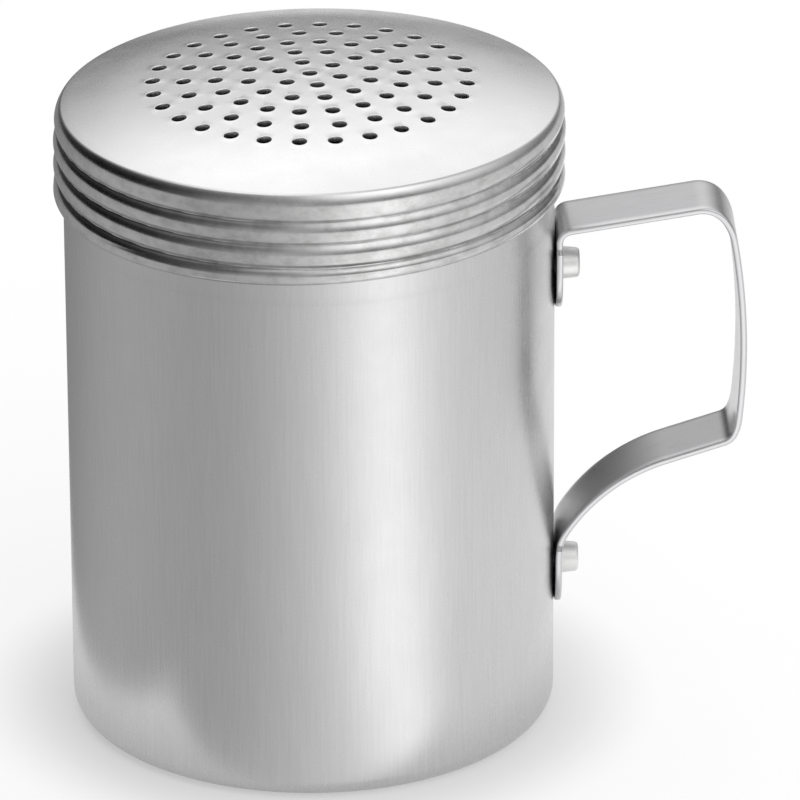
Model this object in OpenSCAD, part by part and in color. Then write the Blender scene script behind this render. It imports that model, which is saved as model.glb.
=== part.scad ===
// Spice shaker: a handled aluminium cup with a perforated screw lid.
// Origin at the centre of the cup's flat base, +Z up the cup's axis, the handle towards +X.

/* [Cup] */
// Outside diameter of the cup
cup_d = 70; // [66:0.5:74]
// Height of the cup from its base to the top of its lip
cup_h = 93.3; // [88:0.1:98]
// Thickness of the cup's sheet
cup_wall = 0.9; // [0.8:0.05:1.1]
// Outside radius of the corner between base and wall
base_corner_r = 3; // [2:0.1:5]
// Distance from the lip down to where the wall starts to draw in
draw_in_depth = 17.3; // [16:0.1:20]
// How far the wall has drawn in where it meets the lid's rim
draw_in = 0.1; // [0.05:0.01:0.15]
// How far the neck is sunk below the wall, between its ridges
neck_depth = 0.75; // [0.7:0.05:0.8]
// Radius of the bead rolled round the lip
lip_r = 0.9; // [0.85:0.05:1]

/* [Thread] */
// Height from one thread ridge to the next
thread_pitch = 3.4; // [3.2:0.1:3.6]
// Radius of each ridge pressed out of the lid's skirt
lid_ridge_r = 2.9; // [2.7:0.1:3.2]
// Radius of each ridge rolled into the cup's neck
neck_ridge_r = 2.6; // [2.4:0.1:2.8]
// Gap between the neck's ridges and the lid's bore
thread_gap = 0.15; // [0.1:0.01:0.25]

/* [Lid] */
// Thickness of the lid's sheet
lid_wall = 0.8; // [0.7:0.05:0.9]
// Largest radius of the lid's ridges, beyond the radius of the cup
ridge_proud = 1.2; // [1.1:0.01:1.5]
// Largest radius of the lid's rolled rim, beyond the radius of the cup
rim_proud = 1.45; // [1.35:0.01:1.8]
// Radius of the rolled rim
rim_r = 1.4; // [1.3:0.1:1.6]
// Height of the skirt, from the middle of the rim to the middle of the shoulder
skirt_h = 9.7; // [9.3:0.1:9.9]
// Radius of the lid's crown, a shallow part of a sphere
crown_r = 185; // [120:5:220]
// Radius of the shoulder between crown and skirt
shoulder_r = 3; // [2.5:0.1:3.5]
// Gap between the cup's lip and the underside of the lid
seat_gap = 0.2; // [0.1:0.05:0.3]

/* [Perforations] */
// Diameter of each shaker hole
hole_d = 2.05; // [1.5:0.05:2.6]
// Distance from one ring of holes to the next
ring_step = 4.47; // [4:0.01:4.8]
// Turn of the three inner rings, from the handle's side
inner_ring_turn = 42.6; // [0:0.1:359]
// Turn of the two outer rings, from the handle's side
outer_ring_turn = 8; // [0:0.1:359]

/* [Handle] */
// Width of the handle's strap
strap_w = 12.7; // [10:0.1:15]
// Thickness of the handle's strap
strap_t = 1; // [0.9:0.1:1.5]
// Height of the upper rivet above the base
upper_rivet_z = 67.6; // [66:0.1:69]
// Height of the lower rivet above the base
lower_rivet_z = 21.2; // [18:0.1:22]
// Length of flat strap above the upper rivet's centre
upper_tab_run = 5.06; // [4:0.01:6]
// Rise of the upper arm, in degrees
arm_rise = 9; // [4:1:12]
// Straight length of the upper arm
upper_arm_run = 18.4; // [16:0.1:24]
// Radius of the last, tight bend of the heel, at mid thickness
heel_r = 2.4; // [2:0.1:3]

/* [Rivets] */
// Diameter of the rivet's head where it sits on the strap
head_base_d = 4.7; // [4.2:0.1:6]
// Diameter of the rivet's head at its top
head_top_d = 4.3; // [3.6:0.1:4.7]
// Height of the rivet's head
head_h = 2.6; // [1.5:0.1:3]
// Diameter of the rivet's shank
shank_d = 3.2; // [2.4:0.1:3.4]
// Diameter of the rivet's set head inside the cup
set_head_d = 5.8; // [4.5:0.1:7]
// Height of the rivet's set head
set_head_h = 1; // [0.6:0.1:1.4]

/* [Hidden] */
$fn = 96;
eps = 0.01;

cup_r = cup_d/2;
neck_ridge_top = cup_r; // the neck's ridges reach as far out as the wall
lid_bore_r = neck_ridge_top + thread_gap;
neck_r = cup_r - neck_depth;
neck_bore_r = neck_r - cup_wall;
neck_step_h = 1.3; // height over which the wall steps in to the neck
rivet_zs = [upper_rivet_z, lower_rivet_z];
rivet_clearance = 0.1; // rivet hole's diameter beyond the shank's
cut_past = 1; // how far a cut runs on past the face it opens

// Heights that the lid and the neck share, counted down from the lip
shoulder_z = cup_h + seat_gap + lid_wall - shoulder_r;
ridge_zs = [for (i = [1:2]) shoulder_z - i*thread_pitch];
rim_z = shoulder_z - skirt_h;
lid_bottom_z = rim_z - 0.85*rim_r; // the rim's bead stands on a narrow flat

// The crown's centre lies on the axis, so that crown and shoulder meet without a corner
skirt_r = cup_r + ridge_proud;
shoulder_c = [skirt_r - shoulder_r, shoulder_z];
crown_c = [0, shoulder_z - sqrt(pow(crown_r - shoulder_r, 2) - pow(shoulder_c[0], 2))];

// Shaker holes in each ring from the centre outwards, and each ring's turn
ring_counts = [6, 12, 18, 21, 28];
ring_turns = [inner_ring_turn, inner_ring_turn, inner_ring_turn, outer_ring_turn, outer_ring_turn];

// The strap from the upper rivet to the lower one: straight runs as [length, 0] and bends as
// [radius at mid thickness, turn], where a turn to the right is negative
upper_bend = [1.8, arm_rise - 90];
knuckle = [[4, -63], [7.7, -26]];
grip = [100, -16];
heel = [7.3, -18];
sweep = [[26.7, 40], [7, 32]];
open_turns = heading(concat([upper_bend], knuckle, [grip, heel], sweep), 7, 0);
heel_bend = [heel_r, -180 - open_turns]; // brings the lower tab parallel to the upper one
before_run = concat([[upper_tab_run, 0], upper_bend, [upper_arm_run, 0]], knuckle, [grip, heel, heel_bend]);
lower_arm_a = heading(before_run, 8);
out_gap = place(before_run, 8) + place(sweep, 2, lower_arm_a);
lower_arm_run = -out_gap[0]/cos(lower_arm_a);
lower_tab_run = upper_rivet_z - lower_rivet_z + out_gap[1] + lower_arm_run*sin(lower_arm_a);
strap = concat(before_run, [[lower_arm_run, 0]], sweep, [[lower_tab_run, 0]]);
thinning = 0.02; // a bend thins the strap by this over its radius, on either face
bend_lap = 0.15; // how far a bend runs on inside a gentler neighbour

// Heading after the first n pieces of a path that starts upwards
function heading(path, n, start = 90) =
    n == 0 ? start : heading(path, n - 1, start) + path[n - 1][1];

// Step along one piece of a path that starts at a heading of a
function path_step(piece, a) = piece[1] == 0
    ? piece[0]*[cos(a), sin(a)]
    : sign(piece[1])*piece[0]*[sin(a + piece[1]) - sin(a), cos(a) - cos(a + piece[1])];

// Place reached after the first n pieces of a path
function place(path, n, start = 90) =
    n == 0 ? [0, 0] : place(path, n - 1, start) + path_step(path[n - 1], heading(path, n - 1, start));

// Section of a solid pot of radius r between two heights, with a rounded bottom corner
module pot_section(r, bottom, top, corner) {
    translate([0, bottom + corner]) square([r, top - bottom - corner]);
    translate([0, bottom]) square([r - corner, corner + eps]);
    translate([r - corner, bottom + corner]) intersection() {
        circle(corner);
        translate([0, -corner]) square(corner + eps);
    }
}

// Section of thread ridges: a disc at each height, whose outermost point is at r_out
module ridge_section(heights, r_out, ridge_r) {
    for (z = heights) translate([r_out - ridge_r, z]) intersection() {
        circle(ridge_r);
        translate([0, -ridge_r]) square([ridge_r, 2*ridge_r]);
    }
}

// Section of the cup filled solid: its outside, or its inside where inset is the wall's thickness
module cup_section(inset) {
    draw_in_z = cup_h - draw_in_depth;
    pot_section(cup_r - inset, inset, draw_in_z, base_corner_r - inset);
    polygon([
        [0, draw_in_z - eps],
        [cup_r - inset, draw_in_z - eps],
        [cup_r - inset, draw_in_z],
        [cup_r - draw_in - inset, lid_bottom_z],
        [neck_r - inset, lid_bottom_z + neck_step_h],
        [0, lid_bottom_z + neck_step_h]
    ]);
    translate([0, lid_bottom_z]) square([neck_r - inset, cup_h - lip_r - lid_bottom_z]);
    ridge_section(ridge_zs, neck_ridge_top - inset, neck_ridge_r - inset);
}

module cup() {
    color([0.74, 0.74, 0.75]) difference() {
        rotate_extrude() {
            difference() {
                cup_section(0);
                cup_section(cup_wall);
                translate([0, cup_h - 2*lip_r]) square([neck_bore_r, 2*lip_r]);
            }
            translate([neck_r - lip_r, cup_h - lip_r]) circle(lip_r);
        }
        for (z = rivet_zs) rivet_hole(z, cup_r - cup_wall - cut_past, cup_wall + 2*cut_past);
    }
}

// Section of the lid filled solid: its outside, or its inside where inset is the sheet's thickness
module lid_section(inset, bottom) {
    reach = 1.2; // carries the wedge round the crown past its surface
    intersection() {
        translate(crown_c) circle(crown_r - inset, $fn = 360);
        polygon([
            crown_c,
            crown_c + reach*(shoulder_c - crown_c),
            [0, crown_c[1] + reach*crown_r]
        ]);
        translate([0, bottom]) square([skirt_r, cup_h]);
    }
    translate([0, bottom]) square([shoulder_c[0], shoulder_z - bottom]);
    translate(shoulder_c) intersection() {
        circle(shoulder_r - inset);
        translate([0, -shoulder_r]) square([shoulder_r, 2*shoulder_r]);
    }
    ridge_section(ridge_zs, skirt_r - inset, lid_ridge_r - inset);
}

// The rim is rolled into a bead, which the bore cuts flat on its inner side
module rim_section() {
    intersection() {
        translate([cup_r + rim_proud - rim_r, rim_z]) circle(rim_r);
        translate([0, lid_bottom_z]) square([skirt_r + rim_proud, 3*rim_r]);
    }
}

module lid() {
    color([0.82, 0.82, 0.83]) difference() {
        rotate_extrude() difference() {
            union() {
                lid_section(0, rim_z);
                rim_section();
            }
            lid_section(lid_wall, lid_bottom_z - cut_past);
            translate([0, lid_bottom_z - cut_past])
                square([lid_bore_r, shoulder_z - lid_bottom_z + cut_past]);
        }
        shaker_holes();
    }
}

module shaker_holes() {
    shaker_hole();
    for (ring = [0:len(ring_counts) - 1], k = [0:ring_counts[ring] - 1])
        rotate(ring_turns[ring] + k*360/ring_counts[ring])
            translate([(ring + 1)*ring_step, 0, 0])
                shaker_hole();
}

module shaker_hole() {
    translate([0, 0, cup_h - shoulder_r]) cylinder(d = hole_d, h = 3*shoulder_r, $fn = 32);
}

// One straight run or bend of the strap, from the origin along +X. A bend can run on by a lap at
// its start and at its end
module strap_piece(piece, start_lap, end_lap) {
    radius = piece[0];
    turn = piece[1];
    if (turn == 0) {
        translate([0, -strap_t/2]) square([piece[0], strap_t]);
    } else {
        side = sign(turn);
        half_t = strap_t/2 - thinning/radius;
        reach = 2*(radius + strap_t);
        degrees_per_mm = 180/(PI*radius);
        translate([0, side*radius]) intersection() {
            difference() {
                circle(radius + half_t);
                circle(radius - half_t);
            }
            polygon([
                [0, 0],
                for (a = [-start_lap*degrees_per_mm, abs(turn)/2, abs(turn) + end_lap*degrees_per_mm])
                    reach*[sin(a), -side*cos(a)]
            ]);
        }
    }
}

// A bend laps into its neighbour only where that one is straight or has a larger radius
function lap(i, neighbour) =
    strap[i][1] != 0 && (strap[neighbour][1] == 0 || strap[neighbour][0] > strap[i][0]) ? bend_lap : 0;

module bent_strap() {
    for (i = [0:len(strap) - 1])
        linear_extrude(height = strap_w, center = true)
            translate(place(strap, i)) rotate(heading(strap, i))
                strap_piece(strap[i], lap(i, i - 1), lap(i, i + 1));
}

// The rounded end of the strap, below a rivet
module tab_end() {
    rotate([0, 90, 0]) linear_extrude(height = strap_t) intersection() {
        circle(d = strap_w);
        translate([-strap_t, -strap_w/2]) square([strap_t + strap_w/2, strap_w]);
    }
}

module handle() {
    color([0.66, 0.66, 0.67]) difference() {
        union() {
            translate([cup_r + strap_t/2, 0, upper_rivet_z]) rotate([90, 0, 0]) bent_strap();
            for (z = rivet_zs) translate([cup_r, 0, z]) tab_end();
        }
        for (z = rivet_zs) rivet_hole(z, cup_r - cut_past, strap_t + 2*cut_past);
    }
}

module rivet_hole(z, x, length) {
    translate([x, 0, z]) rotate([0, 90, 0]) cylinder(d = shank_d + rivet_clearance, h = length);
}

// A rivet along +X, set down on the strap's face at x = 0
module rivet() {
    edge_r = 0.55;
    chamfer = 0.3;
    set_head_x = set_head_seat() - cup_r - strap_t;
    straight_h = head_h - edge_r;
    rotate([0, 90, 0]) {
        cylinder(d1 = head_base_d, d2 = head_top_d, h = straight_h);
        rotate_extrude() translate([head_top_d/2 - edge_r, straight_h]) circle(edge_r);
        cylinder(r = head_top_d/2 - edge_r, h = head_h);
        translate([0, 0, set_head_x]) cylinder(d = shank_d, h = -set_head_x);
        translate([0, 0, set_head_x - set_head_h + chamfer])
            cylinder(d = set_head_d, h = set_head_h - chamfer);
        translate([0, 0, set_head_x - set_head_h])
            cylinder(d1 = set_head_d - 2*chamfer, d2 = set_head_d, h = chamfer);
    }
}

// The set head is flat, so its edge bears on the cup's round inner wall
function set_head_seat() = sqrt(pow(cup_r - cup_wall, 2) - pow(set_head_d/2, 2)) - eps;

module upper_rivet() {
    color([0.86, 0.86, 0.86]) translate([cup_r + strap_t, 0, upper_rivet_z]) rivet();
}

module lower_rivet() {
    color([0.86, 0.86, 0.86]) translate([cup_r + strap_t, 0, lower_rivet_z]) rivet();
}

cup();
lid();
handle();
upper_rivet();
lower_rivet();
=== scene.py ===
import math

import bmesh
import bpy
from mathutils import Matrix, Vector


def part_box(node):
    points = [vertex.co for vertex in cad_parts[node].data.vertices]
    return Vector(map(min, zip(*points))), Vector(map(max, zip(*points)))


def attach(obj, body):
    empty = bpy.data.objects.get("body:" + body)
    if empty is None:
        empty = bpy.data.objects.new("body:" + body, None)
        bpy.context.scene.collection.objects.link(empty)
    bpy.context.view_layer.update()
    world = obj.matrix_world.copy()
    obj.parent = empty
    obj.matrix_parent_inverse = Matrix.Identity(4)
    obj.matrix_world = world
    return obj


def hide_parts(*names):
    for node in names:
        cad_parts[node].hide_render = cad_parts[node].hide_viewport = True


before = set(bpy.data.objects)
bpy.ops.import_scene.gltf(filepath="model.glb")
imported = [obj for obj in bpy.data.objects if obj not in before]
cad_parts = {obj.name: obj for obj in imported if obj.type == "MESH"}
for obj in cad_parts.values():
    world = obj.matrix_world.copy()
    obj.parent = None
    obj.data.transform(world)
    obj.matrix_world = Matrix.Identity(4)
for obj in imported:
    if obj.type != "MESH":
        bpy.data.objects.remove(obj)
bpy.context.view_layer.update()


# --- Cup ---------------------------------------------------------------------------------------
# One drawn aluminium cup: a flat base, a straight wall that is drawn in a little under the lid,
# a neck with a right-hand thread rolled into it, and a lip rolled round into a bead.
MM = 0.001
SEGMENTS = 288
CUP_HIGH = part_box("cup")[1]
CUP_RADIUS = CUP_HIGH[0]
CUP_TOP = CUP_HIGH[2]
CUP_WALL = 0.9*MM
BASE_CORNER = 2.6*MM
DRAW_IN = 0.2*MM
DRAW_IN_DEPTH = 17.3*MM
NECK_DEPTH = 0.85*MM
NECK_LOW = CUP_TOP - 10.6*MM
LIP_BEAD = 0.9*MM
SHOULDER_Z = CUP_TOP - 2*MM
THREAD_TOP = SHOULDER_Z + 0.55*MM
PITCH = 3.4*MM
THREAD_DIP = 0.95*MM
THREAD_LEAN = 0.55*MM
NECK_RIDGE = 2.6*MM
NECK_RIDGE_HEIGHT = 0.62*MM
GROOVE_FILL = 0.05*MM
GROOVE_SOFT = 0.2*MM
RUN_OUT = (90, 150)
ROW = 0.065*MM
NEAR = 0.001*MM


def arc(centre, radius, start, end, steps):
    """Points of an arc in the plane of radius and height, between two angles in degrees."""
    angles = [math.radians(start + (end - start)*i/steps) for i in range(steps + 1)]
    return [(centre[0] + radius*math.cos(a), centre[1] + radius*math.sin(a)) for a in angles]


def rows(radius, low, high, step=ROW):
    """Points up (or down) a straight wall, close enough together to carry a thread."""
    count = max(1, round(abs(high - low)/step))
    return [(radius, low + (high - low)*i/count) for i in range(count + 1)]


def turned(outline):
    """A bmesh of an outline of (radius, height) points turned round the Z axis."""
    mesh = bmesh.new()
    points = [mesh.verts.new((r, 0, z)) for r, z in outline]
    edges = [mesh.edges.new(pair) for pair in zip(points, points[1:])]
    bmesh.ops.spin(mesh, geom=points + edges, cent=(0, 0, 0), axis=(0, 0, 1), angle=math.tau,
                   steps=SEGMENTS, use_merge=True, use_duplicate=False)
    bmesh.ops.remove_doubles(mesh, verts=mesh.verts, dist=1e-7)
    return mesh


def thread_cut(place, ridge_radius):
    """How far a thread groove lies below its ridges' tops here. The ridges are round, and the
    groove between them climbs one pitch a turn anticlockwise. The thread is rolled a little
    askew, so that it dips in front and at the right, and it runs out round the back."""
    angle = math.degrees(math.atan2(place.x, -place.y))
    dip = (THREAD_LEAN*place.x - THREAD_DIP*place.y)/place.xy.length
    turns = (THREAD_TOP - dip - place.z)/PITCH + angle/360
    whole = math.floor(turns)
    off_ridge = min(turns - whole, whole + 1 - turns)*PITCH
    wound = angle - 360*whole
    fade = min(1, max(0, (RUN_OUT[1] - wound)/(RUN_OUT[1] - RUN_OUT[0])))
    fade = fade*fade*(3 - 2*fade)
    cut = ridge_radius - math.sqrt(ridge_radius**2 - off_ridge**2)
    deepest = ridge_radius - math.sqrt(ridge_radius**2 - PITCH**2/4)
    floor_cut = deepest - GROOVE_FILL
    mix = min(1, max(0, 0.5 + (floor_cut - cut)/(2*GROOVE_SOFT)))
    return fade*(floor_cut + (cut - floor_cut)*mix - GROOVE_SOFT*mix*(1 - mix))


def finished(mesh, name, body, node, material, crease=35):
    """Turns a bmesh into a piece of the object that stands for its CAD node."""
    bmesh.ops.recalc_face_normals(mesh, faces=mesh.faces)
    for face in mesh.faces:
        face.smooth = True
    for edge in mesh.edges:
        edge.smooth = edge.calc_face_angle(0) < math.radians(crease)
    data = bpy.data.meshes.new(name)
    mesh.to_mesh(data)
    mesh.free()
    data.materials.append(material)
    piece = bpy.data.objects.new(name, data)
    bpy.context.collection.objects.link(piece)
    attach(piece, body)
    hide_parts(node)
    return piece


def node_adder(tree):
    """A function that adds a node to a tree, with its settings and inputs."""
    def add(kind, inputs=None, **settings):
        node = tree.nodes.new("ShaderNode" + kind)
        for key, value in settings.items():
            setattr(node, key, value)
        for key, value in (inputs or {}).items():
            if isinstance(value, bpy.types.NodeSocket):
                tree.links.new(value, node.inputs[key])
            else:
                node.inputs[key].default_value = value
        return node

    return add


def node_tree(name):
    """A new material with no nodes, and the function that adds one to it."""
    material = bpy.data.materials.new(name)
    material.use_nodes = True
    material.node_tree.nodes.clear()
    return material, node_adder(material.node_tree)


# Dark grey, mixed into the colour as painted shade.
PAINTED_SHADE = (0.12, 0.115, 0.11, 1)


def aluminium(name, colour, roughness, grain, grain_scale, grain_depth, source="Object",
              blotch=0.06, streak=0.06, wear_and_painted_shade=None):
    """Bare aluminium: a fine grain stretched along the way it was worked, and soft blotches.
    Below a height it can be glossier, and darkened in patches towards dark grey as painted shade,
    given as (height, glossier by, darker by)."""
    material, add = node_tree(name)
    if source == "Object":
        place = add("TexCoord").outputs["Object"]
    else:
        place = add("Attribute", attribute_name=source).outputs["Vector"]
    stretched = add("Mapping", {"Vector": place, "Scale": grain})
    fine = add("TexNoise", {"Vector": stretched.outputs[0], "Scale": grain_scale, "Detail": 4,
                            "Roughness": 0.65})
    cloudy = add("TexNoise", {"Vector": place, "Scale": 160, "Detail": 5, "Roughness": 0.6})
    rough = add("MapRange", {"Value": cloudy.outputs["Fac"], "From Min": 0.3, "From Max": 0.7,
                             "To Min": roughness - blotch/2, "To Max": roughness + blotch/2})
    rough_grain = add("MapRange", {"Value": fine.outputs["Fac"], "From Min": 0.25,
                                   "From Max": 0.75, "To Min": -0.03, "To Max": 0.03})
    rough_sum = add("Math", {0: rough.outputs[0], 1: rough_grain.outputs[0]}, operation="ADD")
    tone = add("ValToRGB", {"Fac": fine.outputs["Fac"]})
    tone.color_ramp.elements[0].position = 0.25
    tone.color_ramp.elements[0].color = [c*(1 - streak) for c in colour] + [1]
    tone.color_ramp.elements[1].position = 0.75
    tone.color_ramp.elements[1].color = [c*(1 + 0.7*streak) for c in colour] + [1]
    colours, rough_out = tone.outputs[0], rough_sum.outputs[0]
    # Painted shade: below the height the colour is mixed in patches towards the dark grey,
    # standing in for the thread's dark reflections.
    if wear_and_painted_shade:
        wear_and_shade_top, glossier, darker = wear_and_painted_shade
        height = add("SeparateXYZ", {"Vector": place}).outputs["Z"]
        below = add("MapRange", {"Value": height, "From Min": wear_and_shade_top,
                                 "From Max": wear_and_shade_top - MM}).outputs[0]
        rough_out = add("Math", {0: below, 1: -glossier, 2: rough_out},
                        operation="MULTIPLY_ADD").outputs[0]
        smear = add("Mapping", {"Vector": place, "Scale": (1, 1, 1.6)})
        patches = add("TexNoise", {"Vector": smear.outputs[0], "Scale": 380, "Detail": 5,
                                   "Roughness": 0.6})
        shade_amount = add("MapRange", {"Value": patches.outputs["Fac"], "From Min": 0.42,
                                 "From Max": 0.66, "To Min": darker/2, "To Max": darker})
        shade_amount = add("Math", {0: shade_amount.outputs[0], 1: below}, operation="MULTIPLY")
        colours = add("Mix", {"Factor": shade_amount.outputs[0], "A": colours,
                              "B": PAINTED_SHADE}, data_type="RGBA").outputs["Result"]
    bump = add("Bump", {"Height": fine.outputs["Fac"], "Strength": 0.5, "Distance": grain_depth})
    shader = add("BsdfPrincipled", {"Base Color": colours, "Metallic": 1.0, "Roughness": rough_out,
                                    "Normal": bump.outputs[0]})
    add("OutputMaterial", {"Surface": shader.outputs[0]})
    return material


def cup_outline():
    """The cup from the middle of its base, up the outside, over the lip and down the inside."""
    neck = CUP_RADIUS - NECK_DEPTH
    bore = neck - CUP_WALL
    draw_in_z = CUP_TOP - DRAW_IN_DEPTH
    high_wall = NECK_LOW - 0.8*MM
    outside = [(0, 0), (CUP_RADIUS - BASE_CORNER - 6*MM, 0)]
    outside += arc((CUP_RADIUS - BASE_CORNER, BASE_CORNER), BASE_CORNER, -90, 0, 10)
    outside += [(CUP_RADIUS, draw_in_z), (CUP_RADIUS - 0.25*DRAW_IN, draw_in_z + 0.5*MM),
                (CUP_RADIUS - 0.55*DRAW_IN, draw_in_z + 1.1*MM),
                (CUP_RADIUS - 0.7*DRAW_IN, draw_in_z + 2*MM), (CUP_RADIUS - DRAW_IN, high_wall)]
    outside += rows(neck, NECK_LOW, CUP_TOP - 2*LIP_BEAD)
    lip = arc((neck - LIP_BEAD, CUP_TOP - LIP_BEAD), LIP_BEAD, 0, 270, 14)
    inside = rows(bore, CUP_TOP - 2.2*LIP_BEAD, NECK_LOW, 6*ROW)
    inside += [(CUP_RADIUS - DRAW_IN - CUP_WALL, high_wall), (CUP_RADIUS - CUP_WALL, draw_in_z)]
    inside += arc((CUP_RADIUS - BASE_CORNER, BASE_CORNER), BASE_CORNER - CUP_WALL, 0, -90, 8)
    inside += [(0, CUP_WALL)]
    return outside + lip + inside


cup_mesh = turned(cup_outline())
neck_high = CUP_TOP - 2*LIP_BEAD
for vert in cup_mesh.verts:
    from_axis = vert.co.xy.length
    on_neck = abs(from_axis - CUP_RADIUS + NECK_DEPTH) < NEAR
    if on_neck and NECK_LOW < vert.co.z < neck_high:
        ease = min(1, (vert.co.z - NECK_LOW)/MM, (neck_high - vert.co.z)/(2*MM))
        rise = max(0, NECK_RIDGE_HEIGHT - thread_cut(vert.co, NECK_RIDGE))*ease
        vert.co.xy *= (from_axis + rise)/from_axis

cup_finish = aluminium("cup_aluminium", (0.6, 0.6, 0.6), 0.28, grain=(1, 1, 0.04),
                       grain_scale=2600, grain_depth=0.00001)
finished(cup_mesh, "cup_body", "cup", "cup", cup_finish)


# --- Handle ------------------------------------------------------------------------------------
# A strip of half-inch strap, cut to length with round ends, punched for the rivets, its edges
# rubbed round, and then bent cold into a D.
STRAP_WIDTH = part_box("handle")[1][1]*2
STRAP = 0.98*MM
RIVET_HOLE = 1.65*MM
UPPER_RIVET_Z = sum(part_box("upper_rivet")[i][2] for i in (0, 1))/2
LOWER_RIVET_Z = sum(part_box("lower_rivet")[i][2] for i in (0, 1))/2
EDGE_ROUND = 0.34*MM
ARM_RISE = 9
BENDS_OUT = [(5.06, 0), (1.8, ARM_RISE - 90), (18.4, 0), (4, -63), (7.7, -26), (100, -16),
             (7.3, -18), (2.4, -39 - ARM_RISE)]
BENDS_BACK = [(26.7, 40), (7, 32)]
TAB = 4.2*MM
STEP = 0.45*MM
ROUND_SEGMENTS = 48


def walk(path, place, heading):
    """Follows straight runs (length, 0) and bends (radius, turn) in mm and degrees. Returns the
    stretches passed, as (start, heading, length, radius, turn), and where they end."""
    stretches = []
    for size, turn in path:
        length = size*MM if turn == 0 else size*MM*abs(math.radians(turn))
        stretches.append((place, heading, length, size*MM, turn))
        place, heading = along(stretches[-1], length)[0], heading + turn
    return stretches, place, heading


def along(stretch, distance):
    """The place and heading at a distance along one stretch."""
    (x, z), heading, length, radius, turn = stretch
    start = math.radians(heading)
    if turn == 0:
        return (x + distance*math.cos(start), z + distance*math.sin(start)), heading
    side = math.copysign(1, turn)
    now = start + side*distance/radius
    centre = (x - side*radius*math.sin(start), z + side*radius*math.cos(start))
    point = (centre[0] + side*radius*math.sin(now), centre[1] - side*radius*math.cos(now))
    return point, math.degrees(now)


middle_x = CUP_RADIUS + STRAP/2
_, out_end, arm_heading = walk(BENDS_OUT, (middle_x, UPPER_RIVET_Z), 90)
_, back_step, _ = walk(BENDS_BACK, (0, 0), arm_heading)
arm_slope = math.radians(arm_heading)
arm_length = (middle_x - out_end[0] - back_step[0])/math.cos(arm_slope)
tab_length = out_end[1] + arm_length*math.sin(arm_slope) + back_step[1] - LOWER_RIVET_Z
bend_path, _, _ = walk(BENDS_OUT + [(arm_length/MM, 0)] + BENDS_BACK + [(tab_length/MM, 0)],
                       (middle_x, UPPER_RIVET_Z), 90)
strap_length = sum(stretch[2] for stretch in bend_path)


def bent(flat):
    """Where a point of the flat strap (along, across, out of the middle) lies once it is bent."""
    distance = flat.x
    for stretch in bend_path:
        if distance <= stretch[2] or stretch is bend_path[-1]:
            break
        distance -= stretch[2]
    (x, z), heading = along(stretch, distance)
    slope = math.radians(heading)
    return Vector((x - flat.z*math.sin(slope), flat.y, z + flat.z*math.cos(slope)))


def squared(vert, length):
    """Moves a point of a tab's round outline, on the side of the strap, out to a square corner."""
    if vert.co.x > NEAR:
        reach = max(vert.co.x/length, abs(vert.co.y)/(STRAP_WIDTH/2))
        vert.co.x, vert.co.y = vert.co.x/reach, vert.co.y/reach


blank = bmesh.new()
bmesh.ops.create_circle(blank, segments=ROUND_SEGMENTS, radius=RIVET_HOLE)
tab_edge = bmesh.ops.create_circle(blank, segments=ROUND_SEGMENTS, radius=STRAP_WIDTH/2)
for vert in tab_edge["verts"]:
    squared(vert, TAB)
bmesh.ops.bridge_loops(blank, edges=blank.edges)
steps = round((strap_length - 2*TAB)/STEP)
front = [e for e in blank.edges if all(abs(v.co.x - TAB) < NEAR for v in e.verts)]
for _ in range(steps):
    grown = bmesh.ops.extrude_edge_only(blank, edges=front)["geom"]
    moved = [g for g in grown if isinstance(g, bmesh.types.BMVert)]
    bmesh.ops.translate(blank, verts=moved, vec=((strap_length - 2*TAB)/steps, 0, 0))
    front = [g for g in grown if isinstance(g, bmesh.types.BMEdge)
             and abs(g.verts[0].co.x - g.verts[1].co.x) < NEAR]
far_tab = [f for f in blank.faces if max(v.co.x for v in f.verts) < TAB + NEAR]
copied = bmesh.ops.duplicate(blank, geom=far_tab)["geom"]
for vert in (g for g in copied if isinstance(g, bmesh.types.BMVert)):
    vert.co.x = strap_length - vert.co.x
bmesh.ops.remove_doubles(blank, verts=blank.verts, dist=NEAR)
bmesh.ops.recalc_face_normals(blank, faces=blank.faces)
bmesh.ops.translate(blank, verts=blank.verts, vec=(0, 0, STRAP/2))
thick = bmesh.ops.extrude_face_region(blank, geom=blank.faces[:])["geom"]
bmesh.ops.translate(blank, verts=[g for g in thick if isinstance(g, bmesh.types.BMVert)],
                    vec=(0, 0, -STRAP))
bmesh.ops.recalc_face_normals(blank, faces=blank.faces)
rims = [e for e in blank.edges if e.calc_face_angle(0) > math.radians(60)]
bmesh.ops.bevel(blank, geom=rims, offset=EDGE_ROUND, offset_type="OFFSET", segments=4,
                profile=0.5, affect="EDGES", clamp_overlap=True, material=-1)
strip = blank.verts.layers.float_vector.new("strip")
for vert in blank.verts:
    vert[strip] = vert.co
    vert.co = bent(vert.co)

strap_finish = aluminium("strap_aluminium", (0.62, 0.62, 0.63), 0.3, grain=(0.08, 1, 1),
                         grain_scale=2600, grain_depth=0.000012, source="strip")
finished(blank, "strap_handle", "cup", "handle", strap_finish)


# --- Rivets ------------------------------------------------------------------------------------
# Two solid aluminium rivets. Each has a blunt, slightly tapered head outside the strap, and a
# shank that goes through the strap and the cup's wall and is set into a flat head inside.
HEAD_BASE = 2.35*MM
HEAD_TOP = 2.15*MM
HEAD_HEIGHT = 2.6*MM
HEAD_ROUND = 0.55*MM
SHANK = 1.6*MM
SET_HEAD = 2.9*MM
SET_HEAD_ROUND = 0.4*MM
SET_HEAD_INNER = 31.97*MM
SET_HEAD_OUTER = 32.97*MM


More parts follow.
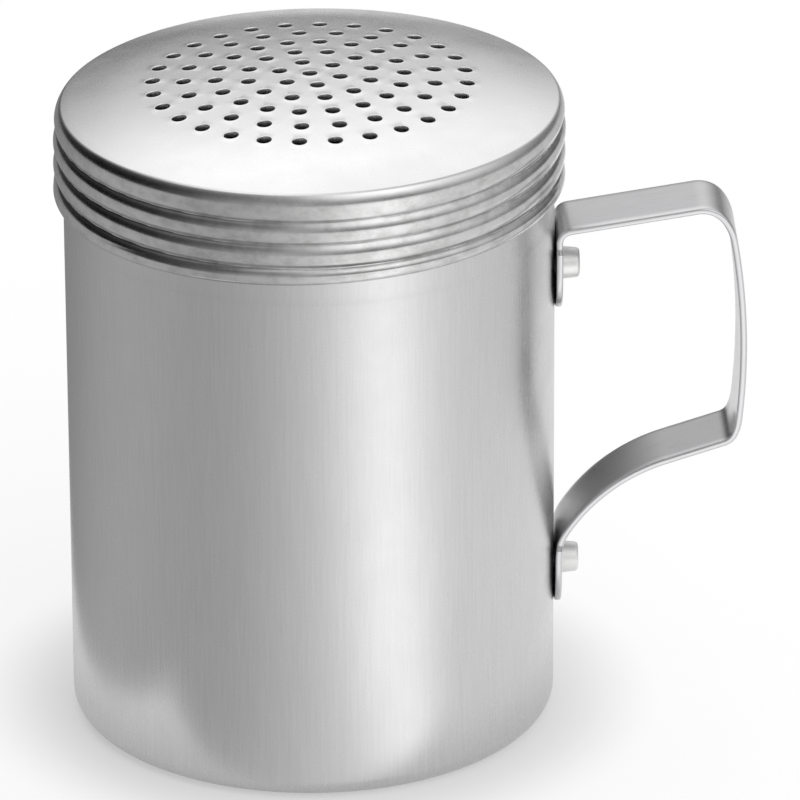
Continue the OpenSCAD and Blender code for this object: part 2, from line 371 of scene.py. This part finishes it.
def rivet_outline():
    """The rivet from the top of its head to its set head, upright on the Z axis."""
    seat = CUP_RADIUS + STRAP
    top = seat + HEAD_HEIGHT
    head = [(0, top)]
    head += arc((HEAD_TOP - HEAD_ROUND, top - HEAD_ROUND), HEAD_ROUND, 90, 4, 8)
    head += [(HEAD_BASE, seat + 0.12*MM), (HEAD_BASE - 0.08*MM, seat)]
    shank = [(SHANK, seat), (SHANK, SET_HEAD_OUTER)]
    set_head = [(SET_HEAD, SET_HEAD_OUTER), (SET_HEAD, SET_HEAD_INNER + SET_HEAD_ROUND)]
    set_head += arc((SET_HEAD - SET_HEAD_ROUND, SET_HEAD_INNER + SET_HEAD_ROUND),
                    SET_HEAD_ROUND, -20, -90, 5)
    return head + shank + set_head + [(0, SET_HEAD_INNER)]


rivet_finish = aluminium("rivet_aluminium", (0.85, 0.85, 0.84), 0.5, grain=(1, 1, 1),
                         grain_scale=1800, grain_depth=0.00003)
for node, height in (("upper_rivet", UPPER_RIVET_Z), ("lower_rivet", LOWER_RIVET_Z)):
    rivet = turned(rivet_outline())
    onto_handle = Matrix.Translation((0, 0, height)) @ Matrix.Rotation(math.radians(90), 4, "Y")
    bmesh.ops.transform(rivet, matrix=onto_handle, verts=rivet.verts)
    finished(rivet, node + "_body", "cup", node, rivet_finish)


# --- Lid ---------------------------------------------------------------------------------------
# One pressed aluminium cap. The crown is a shallow dome with rings of punched holes, the skirt
# is rolled to a right-hand thread, and its bottom edge is rolled out into a bead.
SKIRT = CUP_RADIUS + 1.4*MM
SHEET = 0.8*MM
BORE = CUP_RADIUS + 0.15*MM
SHOULDER_R = CUP_RADIUS + 1.24*MM
SHOULDER = 3.0*MM
EDGE = 0.8*MM
EDGE_TURN = 38
EDGE_SLOPE = 17.6
DOME = 186*MM
DOME_FLANK = 53*MM
LID_RIDGE = 2.3*MM
BEAD = 1.4*MM
BEAD_OUT = CUP_RADIUS + 1.43*MM
BEAD_Z = SHOULDER_Z - 9.9*MM
BEAD_DIP = 0.3*MM
BEAD_LEAN = 0.42*MM
LID_LEAN = 0.0122
LID_PULL = 0.012
LID_SHIFT = 0.12*MM
LID_TILT_DEPTH = 3.3*MM
BEAD_EASE = SHOULDER_Z - 7*MM
HOLE = 1*MM
HOLE_ROUND = 0.16*MM
BURR = [(0.24*MM, 0), (0.1*MM, 0.025*MM), (0, 0.035*MM)]
RING_STEP = 4.47*MM
RINGS = [(1, 42.6), (6, 42.6), (12, 42.6), (18, 42.6), (21, 8), (28, 8)]
HOLE_SEGMENTS = 24
LAID_OUT = 1.0

edge_r = SHOULDER_R - SHOULDER + (SHOULDER - EDGE)*math.cos(math.radians(EDGE_TURN))
edge_z = SHOULDER_Z + (SHOULDER - EDGE)*math.sin(math.radians(EDGE_TURN))
slope = math.radians(EDGE_SLOPE)
flank_r = edge_r - (DOME_FLANK - EDGE)*math.sin(slope)
flank_z = edge_z - (DOME_FLANK - EDGE)*math.cos(slope)
dome_slope = math.asin(flank_r/(DOME - DOME_FLANK))
dome_z = flank_z - (DOME - DOME_FLANK)*math.cos(dome_slope)


def dome_height(radius, below=0.0):
    """Height of the crown's sheet at a radius, on its face or some way below it: a flat dome
    that bends down a little more towards the edge."""
    if radius < (DOME - below)*math.sin(dome_slope):
        return dome_z + math.sqrt((DOME - below)**2 - radius**2)
    return flank_z + math.sqrt((DOME_FLANK - below)**2 - (radius - flank_r)**2)


def shoulder(below, steps):
    """The shoulder from the crown to the skirt: a tight bend at the crown's edge, then a wide
    one. It is given on its face or some way below it."""
    tight = arc((edge_r, edge_z), EDGE - below, 90 - EDGE_SLOPE, EDGE_TURN, steps)
    wide = arc((SHOULDER_R - SHOULDER, SHOULDER_Z), SHOULDER - below, EDGE_TURN, 0, 2*steps)
    return tight + wide[1:]


def lid_outline():
    """The skirt from the crown's edge down to the bead and back up inside."""
    outside = shoulder(0, 8) + rows(SKIRT, SHOULDER_Z - ROW, BEAD_Z)
    bead = arc((BEAD_OUT - BEAD, BEAD_Z), BEAD, 0, -75, 12)[1:]
    foot_z = BEAD_Z - BEAD*math.sin(math.radians(75))
    inside = [(BORE, foot_z)] + rows(BORE, foot_z + 0.3*MM, SHOULDER_Z - ROW, 3*ROW)
    return outside + bead + inside + shoulder(SHEET, 4)[::-1]


def bead_dip(place):
    """How far the rolled rim, trimmed a little askew, lies below its mean height here."""
    return -(BEAD_DIP*place.y + BEAD_LEAN*place.x)/place.xy.length


def skirt_radius(place):
    """Outside radius of the threaded skirt: the ridges, which end in a bead, and which rise
    out of the shoulder."""
    ridges = SKIRT - thread_cut(place, LID_RIDGE)
    near_shoulder = min(1, max(0, 1 + (place.z - SHOULDER_Z)/(2*MM)))
    ridges -= (SKIRT - SHOULDER_R)*near_shoulder
    off_bead = place.z - BEAD_Z + bead_dip(place)
    if off_bead > BEAD:
        return ridges
    bead = BEAD_OUT - BEAD + math.sqrt(BEAD**2 - max(-BEAD, off_bead)**2)
    if off_bead < 0:
        return bead
    mix = min(1, max(0, 0.5 + (bead - ridges)/(0.3*MM)))
    return ridges + (bead - ridges)*mix


skirt = turned(lid_outline())
for vert in skirt.verts:
    from_axis = vert.co.xy.length
    if vert.co.z < BEAD_EASE:
        low = min(1, (BEAD_EASE - vert.co.z)/(BEAD_EASE - BEAD_Z))
        vert.co.z -= low*bead_dip(vert.co)
    if abs(from_axis - SKIRT) < NEAR:
        vert.co.xy *= skirt_radius(vert.co)/from_axis
    elif vert.co.z > SHOULDER_Z - NEAR and from_axis > SHOULDER_R - 0.8*MM:
        ease = min(1, (vert.co.z - SHOULDER_Z)/(2*MM))
        grooved = SHOULDER_R - thread_cut(vert.co, LID_RIDGE)*(1 - ease)
        vert.co.xy *= min(from_axis, grooved)/from_axis
    elif abs(from_axis - BORE) < NEAR and vert.co.z > BEAD_Z:
        vert.co.xy *= max(BORE, SKIRT - SHEET - thread_cut(vert.co, LID_RIDGE))/from_axis


def ring_centres(ring):
    """The middles of the holes in one ring, counted from 0 at the crown's centre."""
    count, turn = RINGS[ring]
    angles = [math.radians(turn + k*360/count) for k in range(count)]
    return [Vector((ring*RING_STEP*math.cos(a), ring*RING_STEP*math.sin(a))) for a in angles]


def circle(radius, segments, height, centre=(0, 0)):
    """The edges of a circle laid flat at a height."""
    made = bmesh.ops.create_circle(skirt, segments=segments, radius=radius,
                                   matrix=Matrix.Translation((*centre, height)))["verts"]
    return list({edge for vert in made for edge in vert.link_edges})


def plate(hole_radius, edge_radius, height):
    """One face of the crown: circles round its holes and between their rings, filled flat."""
    inner = []
    for ring in range(len(RINGS)):
        outer = circle((ring + 0.5)*RING_STEP, 36 + 36*ring, height)
        punched = []
        for centre in ring_centres(ring):
            punched += circle(hole_radius, HOLE_SEGMENTS, height, centre)
        bmesh.ops.triangle_fill(skirt, use_beauty=True, edges=outer + inner + punched)
        inner = outer
    for radius, segments in ((27*MM, 240), (30.5*MM, 264), (edge_radius, SEGMENTS)):
        outer = circle(radius, segments, height)
        bmesh.ops.triangle_fill(skirt, use_beauty=True, edges=outer + inner)
        inner = outer


# The crown is laid out flat, far above the skirt, and bent to its dome once it is punched.
punched_edge = HOLE + HOLE_ROUND
plate(punched_edge + BURR[0][0], edge_r + EDGE*math.sin(slope), LAID_OUT)
plate(HOLE, edge_r + (EDGE - SHEET)*math.sin(slope), LAID_OUT - SHEET)
lips = [(punched_edge + out, rise) for out, rise in BURR[1:]]
lips += [(r, z + BURR[-1][1]) for r, z in
         arc((punched_edge, -HOLE_ROUND), HOLE_ROUND, 120, 180, 2)]
for centre in (c for ring in range(len(RINGS)) for c in ring_centres(ring)):
    loop = circle(punched_edge + BURR[0][0], HOLE_SEGMENTS, LAID_OUT, centre)
    for radius, rise in lips:
        grown = bmesh.ops.extrude_edge_only(skirt, edges=loop)["geom"]
        for vert in (g for g in grown if isinstance(g, bmesh.types.BMVert)):
            vert.co.xy = centre + (vert.co.xy - centre).normalized()*radius
            vert.co.z = LAID_OUT + rise
        loop = [g for g in grown if isinstance(g, bmesh.types.BMEdge)
                and abs(g.verts[0].co.z - g.verts[1].co.z) < NEAR/10]
    grown = bmesh.ops.extrude_edge_only(skirt, edges=loop)["geom"]
    for vert in (g for g in grown if isinstance(g, bmesh.types.BMVert)):
        vert.co.z = LAID_OUT - SHEET
for vert in skirt.verts:
    if vert.co.z > LAID_OUT/2:
        depth = LAID_OUT - vert.co.z
        radius = vert.co.xy.length
        face = dome_height(radius)
        vert.co.z = face - depth/SHEET*(face - dome_height(radius, SHEET))
bmesh.ops.remove_doubles(skirt, verts=skirt.verts, dist=2*NEAR)
for vert in skirt.verts:
    above = vert.co.z - SHOULDER_Z + LID_TILT_DEPTH
    vert.co += Vector((LID_SHIFT + LID_PULL*above, 0, LID_LEAN*vert.co.x))

# The skirt below the shoulder is glossier and is darkened in patches with painted shade.
lid_finish = aluminium("lid_aluminium", (0.72, 0.72, 0.72), 0.28, grain=(1, 1, 1),
                       grain_scale=2200, grain_depth=0.000001, streak=0.015,
                       wear_and_painted_shade=(SHOULDER_Z + 2*MM, 0.06, 0.4))
lid = finished(skirt, "screw_lid", "lid", "lid", lid_finish)
even = lid.modifiers.new("even_shading", "WEIGHTED_NORMAL")
even.keep_sharp = True
even.weight = 80


# --- Floor -------------------------------------------------------------------------------------
# A pale floor. A patch of it is white, from just in front of the shaker to far behind it, with a
# soft painted shadow in its glow round the base. Past the patch's straight sides the floor is dark
# paper with a grey glow of painted light and shade, because white there would show in the metal,
# which reflects the same floor.
WHITE_LEFT = (-0.0515, -0.046)
WHITE_RIGHT = (0.18, 0.14)
WHITE_FRONT = (-0.041, -0.0356)
LEFT_SKEW = 0.0136
FRONT_SKEW = 0.0387
SHADE_REACH = (0.034, 0.052)
SHADE = (0.4, 0.62)
PAINTED_SHADE_PAPER = (0.05, 0.05, 0.05, 1)
WHITE_PAPER = (0.5, 0.5, 0.5, 1)

# Azimuth from the handle's side, elevation, tightness and strength of each painted pool of light
# and shade in the floor's grey glow. These values, and those of the soft boxes, came from a
# fitting program and weren't set by hand.
HANDLE_SHADE = (30, 0, 2, 0.635)
HANDLE_SHADE_STARTS = (0.06, 0.1)
LEFT_SHADE = (180, 0, 2, 0.451)
FRONT_SHADE = (300, 0, 2, 0.94)
FRONT_STREAK = (300, 0, 25, 0.479)

bpy.ops.mesh.primitive_circle_add(vertices=96, radius=4, fill_type="NGON")
floor = bpy.context.object
floor.name = "floor"
floor_paint, add = node_tree("floor_paint")


def lobe(add, direction, azimuth, elevation, tightness, strength):
    """One soft patch of light, brightest in its own direction and fading round it."""
    az, el = math.radians(azimuth), math.radians(elevation)
    towards = (math.cos(el)*math.cos(az), math.cos(el)*math.sin(az), math.sin(el))
    dot = add("VectorMath", {0: direction, 1: towards}, operation="DOT_PRODUCT")
    off = add("Math", {0: dot.outputs["Value"], 1: tightness, 2: -tightness},
              operation="MULTIPLY_ADD")
    fade = add("Math", {0: math.e, 1: off.outputs[0]}, operation="POWER")
    return add("Math", {0: fade.outputs[0], 1: strength}, operation="MULTIPLY").outputs[0]


def total(add, values):
    """The sum of several node outputs."""
    sum_so_far = values[0]
    for value in values[1:]:
        sum_so_far = add("Math", {0: sum_so_far, 1: value}, operation="ADD").outputs[0]
    return sum_so_far


def ramp(value, low, high):
    """0 below low and 1 above high, with a soft change between them (or the other way round)."""
    return add("MapRange", {"Value": value, "From Min": low, "From Max": high},
               interpolation_type="SMOOTHSTEP").outputs[0]


spot = add("TexCoord").outputs["Object"]
parts = add("SeparateXYZ", {"Vector": spot})
level = add("CombineXYZ", {"X": parts.outputs["X"], "Y": parts.outputs["Y"]})
outward = add("VectorMath", {0: level.outputs[0]}, operation="NORMALIZE").outputs["Vector"]
away = add("VectorMath", {0: level.outputs[0]}, operation="LENGTH").outputs["Value"]
# Painted pools of light and shade, which the metal reflects, make the grey glow outside the white
# patch.
handle_shade = add("Math", {0: lobe(add, outward, *HANDLE_SHADE),
                            1: ramp(away, *HANDLE_SHADE_STARTS)}, operation="MULTIPLY").outputs[0]
grey = total(add, [handle_shade, lobe(add, outward, *LEFT_SHADE),
                   lobe(add, outward, *FRONT_SHADE), lobe(add, outward, *FRONT_STREAK)])
across = add("Math", {0: parts.outputs["Y"], 1: LEFT_SKEW, 2: parts.outputs["X"]},
             operation="MULTIPLY_ADD").outputs[0]
deep = add("Math", {0: parts.outputs["X"], 1: FRONT_SKEW, 2: parts.outputs["Y"]},
           operation="MULTIPLY_ADD").outputs[0]
white = ramp(across, *WHITE_LEFT)
for side in (ramp(across, *WHITE_RIGHT), ramp(deep, *WHITE_FRONT)):
    white = add("Math", {0: white, 1: side}, operation="MULTIPLY").outputs[0]
# Painted shadow: near the cup's base the white glow dims from 0.62 to 0.4.
contact = add("MapRange", {"Value": away, "From Min": SHADE_REACH[0], "From Max": SHADE_REACH[1],
                           "To Min": SHADE[0], "To Max": SHADE[1]},
              interpolation_type="SMOOTHSTEP").outputs[0]
tone = add("Mix", {"Factor": white, "A": grey, "B": contact}, data_type="FLOAT").outputs[0]
path = add("LightPath")
seen = add("Math", {0: path.outputs["Is Camera Ray"], 1: path.outputs["Is Glossy Ray"]},
           operation="MAXIMUM")
seen = add("Math", {0: seen.outputs[0], 1: path.outputs["Is Transmission Ray"]},
           operation="MAXIMUM")
shown = add("Math", {0: seen.outputs[0], 1: tone}, operation="MULTIPLY")
glow = add("Emission", {"Color": (1, 1, 1, 1), "Strength": shown.outputs[0]})
# Outside the white patch the paper is nearly black, as painted shade.
paper = add("Mix", {"Factor": white, "A": PAINTED_SHADE_PAPER, "B": WHITE_PAPER}, data_type="RGBA")
matt = add("BsdfDiffuse", {"Color": paper.outputs["Result"]})
both = add("AddShader", {0: matt.outputs[0], 1: glow.outputs[0]})
add("OutputMaterial", {"Surface": both.outputs[0]})
floor.data.materials.append(floor_paint)


# --- Light -------------------------------------------------------------------------------------
# Seven soft boxes: three behind the shaker, one overhead, and three in front and at the handle's
# side. Each is azimuth (0 at the handle, 90 behind), elevation, tightness and strength.
# The values came from a fitting program and weren't set by hand.
SOFT_BOXES = {
    "behind_low": (75, 30, 20, 0.467),
    "behind_high": (75, 45, 6, 0.837),
    "behind_left": (105, 45, 20, 0.81),
    "overhead": (180, 75, 12, 1.419),
    "front_low": (255, 0, 6, 0.578),
    "front_right": (300, 45, 12, 1.476),
    "handle_side": (345, 30, 6, 0.841),
}
world = bpy.data.worlds.new("studio")
bpy.context.scene.world = world
world.use_nodes = True
world.node_tree.nodes.clear()
add_light = node_adder(world.node_tree)
sky = add_light("TexCoord").outputs["Generated"]
light = total(add_light, [lobe(add_light, sky, *box) for box in SOFT_BOXES.values()])
studio = add_light("Background", {"Color": (1, 1, 1, 1), "Strength": light})
add_light("OutputWorld", {"Surface": studio.outputs[0]})


# --- Camera ------------------------------------------------------------------------------------
# A long lens, a little over a metre away and turned slightly from the shaker's middle. Its place
# and turn came from a fitting program too.
CAMERA_PLACE = (-0.018826, -1.078523, 0.524883)
CAMERA_TURN = (66.087, 0.227, -1.781)
LENS = 368.75
SENSOR = 36
camera_data = bpy.data.cameras.new("camera")
camera_data.lens = LENS
camera_data.sensor_width = SENSOR
camera = bpy.data.objects.new("camera", camera_data)
camera.location = CAMERA_PLACE
camera.rotation_euler = [math.radians(a) for a in CAMERA_TURN]
bpy.context.collection.objects.link(camera)
bpy.context.scene.camera = camera
bpy.context.scene.view_settings.view_transform = "Standard"
